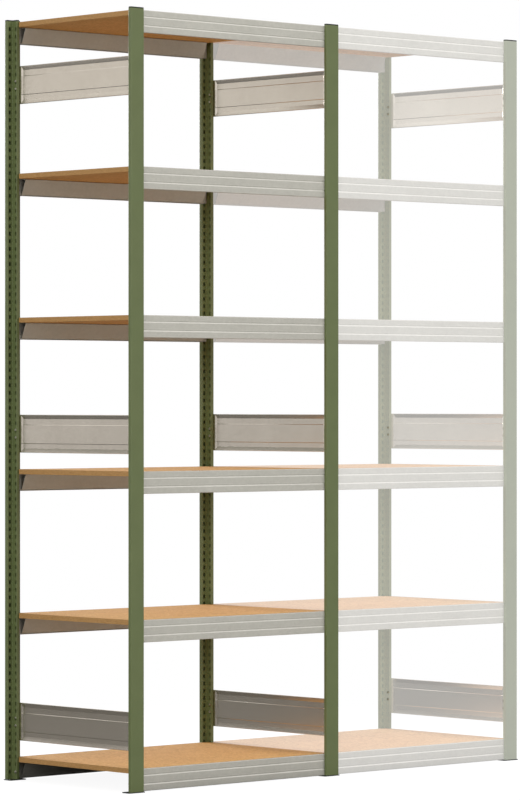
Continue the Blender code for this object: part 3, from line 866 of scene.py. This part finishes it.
def make_finishes():
    """Every finish by name; the strips give the run of the rolling lines, along X or along Y."""
    beam_strip, beam_gloss = (0.004, 1.0, 1.0), (0.76, 0.7)
    strut_strip, strut_gloss = (1.0, 0.004, 1.0), (0.27, 0.22)
    return {
        "green_powder_coat": powder_coat("green_powder_coat", "#6E7A4B", "#748050"),
        # the pale finishes also glow white: painted light over the add-on bay
        "pale_green_powder_coat": with_painted_glow(powder_coat("pale_green_powder_coat", "#878F70", "#8D9575")),
        # the beams' finishes carry a painted highlight of 0.1 on faces that look upwards
        "galvanised_steel": galvanised_steel(
            "galvanised_strip", "#B9B7AF", "#BFBDB5", beam_strip, beam_gloss, 0.1),
        "pale_galvanised_steel": with_painted_glow(galvanised_steel(
            "pale_galvanised_strip", "#B9B7B1", "#BFBDB7", beam_strip, beam_gloss, 0.1)),
        "galvanised_steel_strut": galvanised_steel(
            "galvanised_sheet", "#D2C9BC", "#D8CFC2", strut_strip, strut_gloss),
        "pale_galvanised_steel_strut": with_painted_glow(galvanised_steel(
            "pale_galvanised_sheet", "#CBC4B9", "#D1CABF", strut_strip, strut_gloss)),
        "chipboard": chipboard(
            "chipboard",
            [(0.25, "#C48E47"), (0.45, "#DDA75D"), (0.6, "#E4B066"), (0.8, "#EBBE79")],
            [(0.2, "#B2834C"), (0.4, "#C7965A"), (0.6, "#D1A063"), (0.85, "#E0AF74")]),
        "pale_chipboard": with_painted_glow(chipboard(
            "pale_chipboard",
            [(0.25, "#B79065"), (0.45, "#CFA97E"), (0.6, "#D7B287"), (0.8, "#DFBE96")],
            [(0.2, "#9C7852"), (0.4, "#B08A60"), (0.6, "#BA9468"), (0.85, "#C9A378")])),
        "black_plastic": moulded_plastic("black_polypropylene", "#0B0C0B", "#121312"),
        "zinc_plated_steel": zinc_plated_steel("zinc_plating", "#A6A697", "#C2C2B2"),
        # the foot plates' zinc plating is drawn dark grey
        "dark_foot_plate": zinc_plated_steel("dark_zinc_plating", "#4E5052", "#5E6062"),
    }


# Studio

def build_floor():
    """Pale floor: white to the camera but for the unit's shadow, and grey to other rays.

    In front of the unit, the metal mirrors a white floor.
    """
    bpy.ops.mesh.primitive_plane_add(size=FLOOR_SIZE)
    floor = bpy.context.object
    floor.name = "studio_floor"
    finish, tree, shader = new_finish("floor_paint")
    rays = add_node(tree, "LightPath")
    place = add_node(tree, "TexCoord").outputs["Object"]
    ahead = add_node(tree, "MapRange", {
        "Value": add_node(tree, "SeparateXYZ", {0: place}).outputs["Y"],
        "From Min": WHITE_AHEAD[0], "From Max": WHITE_AHEAD[1], "To Max": rays.outputs["Is Glossy Ray"]})
    tone = add_node(tree, "Mix", {
        0: ahead.outputs[0], 6: linear("#7F7F7D"), 7: linear("#F4F4F4")}, data_type="RGBA")
    lit = add_node(tree, "BsdfDiffuse", {"Color": tone.outputs[2]})
    shaded = add_node(tree, "BsdfDiffuse", {"Color": linear("#F4F4F4")})
    base_glow = add_node(tree, "Emission", {"Color": linear("#FFFFFF"), "Strength": BASE_GLOW})
    near = add_node(tree, "MixShader", {0: BASE_GLOW_SHARE, 1: shaded.outputs[0], 2: base_glow.outputs[0]})
    # the shadow fades out away from the unit
    distance = add_node(tree, "VectorMath", {0: place}, operation="LENGTH")
    fade = add_node(tree, "MapRange", {
        "Value": distance.outputs["Value"], "From Min": SHADOW_FADE[0], "From Max": SHADOW_FADE[1],
    }, interpolation_type="SMOOTHSTEP")
    glow = add_node(tree, "Emission", {"Color": linear("#FFFFFF"), "Strength": 1.0})
    seen = add_node(tree, "MixShader", {0: fade.outputs[0], 1: near.outputs[0], 2: glow.outputs[0]})
    both = add_node(tree, "MixShader", {
        0: rays.outputs["Is Camera Ray"], 1: lit.outputs[0], 2: seen.outputs[0]})
    tree.links.new(both.outputs[0], tree.nodes["Material Output"].inputs["Surface"])
    tree.nodes.remove(shader)
    floor.data.materials.append(finish)


def add_screen(name, size, place, turn, colour, glow):
    """Upright screen of one plain glow, seen in reflections alone."""
    bpy.ops.mesh.primitive_plane_add(size=1)
    screen = bpy.context.object
    screen.name = name
    screen.scale = (*size, 1.0)
    screen.location = place
    screen.rotation_euler = (math.pi / 2, 0, math.radians(turn))
    screen.visible_camera = False
    screen.visible_diffuse = False
    screen.visible_shadow = False
    finish, tree, shader = new_finish(name + "_paint")
    paint = add_node(tree, "Emission", {"Color": linear(colour), "Strength": glow})
    tree.links.new(paint.outputs[0], tree.nodes["Material Output"].inputs["Surface"])
    tree.nodes.remove(shader)
    screen.data.materials.append(finish)


def build_screens():
    """What the struts mirror: a far warm wall, and dark cards behind the left bay for their borders."""
    add_screen("studio_wall", (16.0, 3.2), (-20.4, 22.0, 7.4), 43, "#E8DFC4", 0.38)
    add_screen("low_card", (2.6, 0.23), (-1.35, 1.475, 0.405), 0, "#E8DFC4", 0.04)
    add_screen("middle_card", (2.6, 0.27), (-1.35, 1.475, 1.515), 0, "#A6BA88", 0.12)


def build_backdrop():
    """White surroundings to the camera and in reflections, a plain soft grey light to the rest."""
    world = bpy.data.worlds.new("studio")
    bpy.context.scene.world = world
    world.use_nodes = True
    tree = world.node_tree
    tree.nodes.clear()
    rays = add_node(tree, "LightPath")
    mirror = add_node(tree, "Math", {
        0: rays.outputs["Is Glossy Ray"], 1: rays.outputs["Is Transmission Ray"]}, operation="MAXIMUM")
    shown = add_node(tree, "Math", {
        0: rays.outputs["Is Camera Ray"], 1: mirror.outputs[0]}, operation="MAXIMUM")
    white = add_node(tree, "Background", {"Color": linear("#FFFFFF"), "Strength": 1.0})
    grey = add_node(tree, "Background", {"Color": linear("#FFFEFA"), "Strength": 0.4})
    both = add_node(tree, "MixShader", {0: shown.outputs[0], 1: grey.outputs[0], 2: white.outputs[0]})
    add_node(tree, "OutputWorld", {"Surface": both.outputs[0]})


def add_lamp(name, place, target, size, power):
    """Soft box that faces its target."""
    data = bpy.data.lights.new(name, "AREA")
    data.shape = "RECTANGLE"
    data.size, data.size_y = size
    data.energy = power
    lamp = bpy.data.objects.new(name, data)
    lamp.location = place
    lamp.rotation_euler = (Vector(target) - Vector(place)).to_track_quat("-Z", "Y").to_euler()
    bpy.context.scene.collection.objects.link(lamp)


def build_lamps():
    """Four soft boxes, all towards the middle of the unit."""
    middle = (0, 0, POST_LENGTH / 2)
    add_lamp("front_soft_box", (0.0, -13.0, 2.8), middle, (6.0, 4.0), 180)
    add_lamp("high_front_soft_box", (4.0, -10.0, 10.0), middle, (6.0, 4.0), 420)
    add_lamp("left_soft_box", (-10.0, -3.0, 3.0), middle, (4.0, 4.0), 240)
    add_lamp("rear_soft_box", (0.5, 10.5, 4.5), middle, (6.0, 3.0), 950)


def build_camera():
    """Level camera with a long lens, in the place that the picture was taken from."""
    data = bpy.data.cameras.new("camera")
    data.sensor_width = SENSOR
    data.lens = SENSOR * FOCAL_LENGTH / PICTURE_HEIGHT
    data.shift_y = (HORIZON - PICTURE_HEIGHT / 2) / PICTURE_HEIGHT
    camera = bpy.data.objects.new("camera", data)
    camera.location = CAMERA_PLACE
    camera.rotation_euler = (math.pi / 2, 0, math.radians(CAMERA_TURN))
    bpy.context.scene.collection.objects.link(camera)
    bpy.context.scene.camera = camera


finishes = make_finishes()
build_frames(finishes)
build_levels(finishes)
build_floor()
build_screens()
build_backdrop()
build_lamps()
build_camera()
bpy.context.scene.view_settings.view_transform = "Standard"
